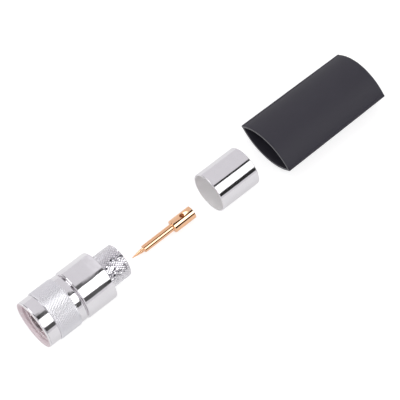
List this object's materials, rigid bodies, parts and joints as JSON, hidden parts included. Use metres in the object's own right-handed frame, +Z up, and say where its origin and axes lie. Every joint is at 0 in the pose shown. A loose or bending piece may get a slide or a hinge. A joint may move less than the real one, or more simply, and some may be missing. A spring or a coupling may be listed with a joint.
{
  "type": "n type connector",
  "caption": "Crimp n type coaxial plug for thick cable, laid out in a row with its loose centre pin, crimp ferrule and heat-shrink sleeve.",
  "frame": {"origin": "centre of the row's length and width, on the surface that the pieces lie on", "axes": "+X runs along the row from the plug's mouth to the sleeve's far end, +Z is up"},
  "size_m": [0.1704, 0.0282, 0.0207],
  "materials": {
    "bright_plating": "polished white-bronze plating on brass",
    "contact_plating": "satin silver plating",
    "gold_plating": "polished pale gold plating",
    "spring_bronze": "drawn bronze",
    "silicone": "matte silicone",
    "ptfe": "waxy white",
    "shrink_tube": "matte black tube"
  },
  "bodies": {
    "plug_and_loose_parts": {"connector_body": "bright_plating", "outer_contact": "contact_plating", "insulator": "ptfe", "gasket": "silicone", "retaining_ring": "spring_bronze", "centre_pin": "gold_plating", "crimp_ferrule": "bright_plating", "heat_shrink_sleeve": "shrink_tube"},
    "nut": {"coupling_nut": "bright_plating"}
  },
  "joints": [
    {"name": "nut_turn", "type": "hinge", "parent": "plug_and_loose_parts", "child": "nut", "pos_m": [-0.07615, -0.0018, 0.01035], "axis": [1, 0, 0], "continuous": true}
  ]
}
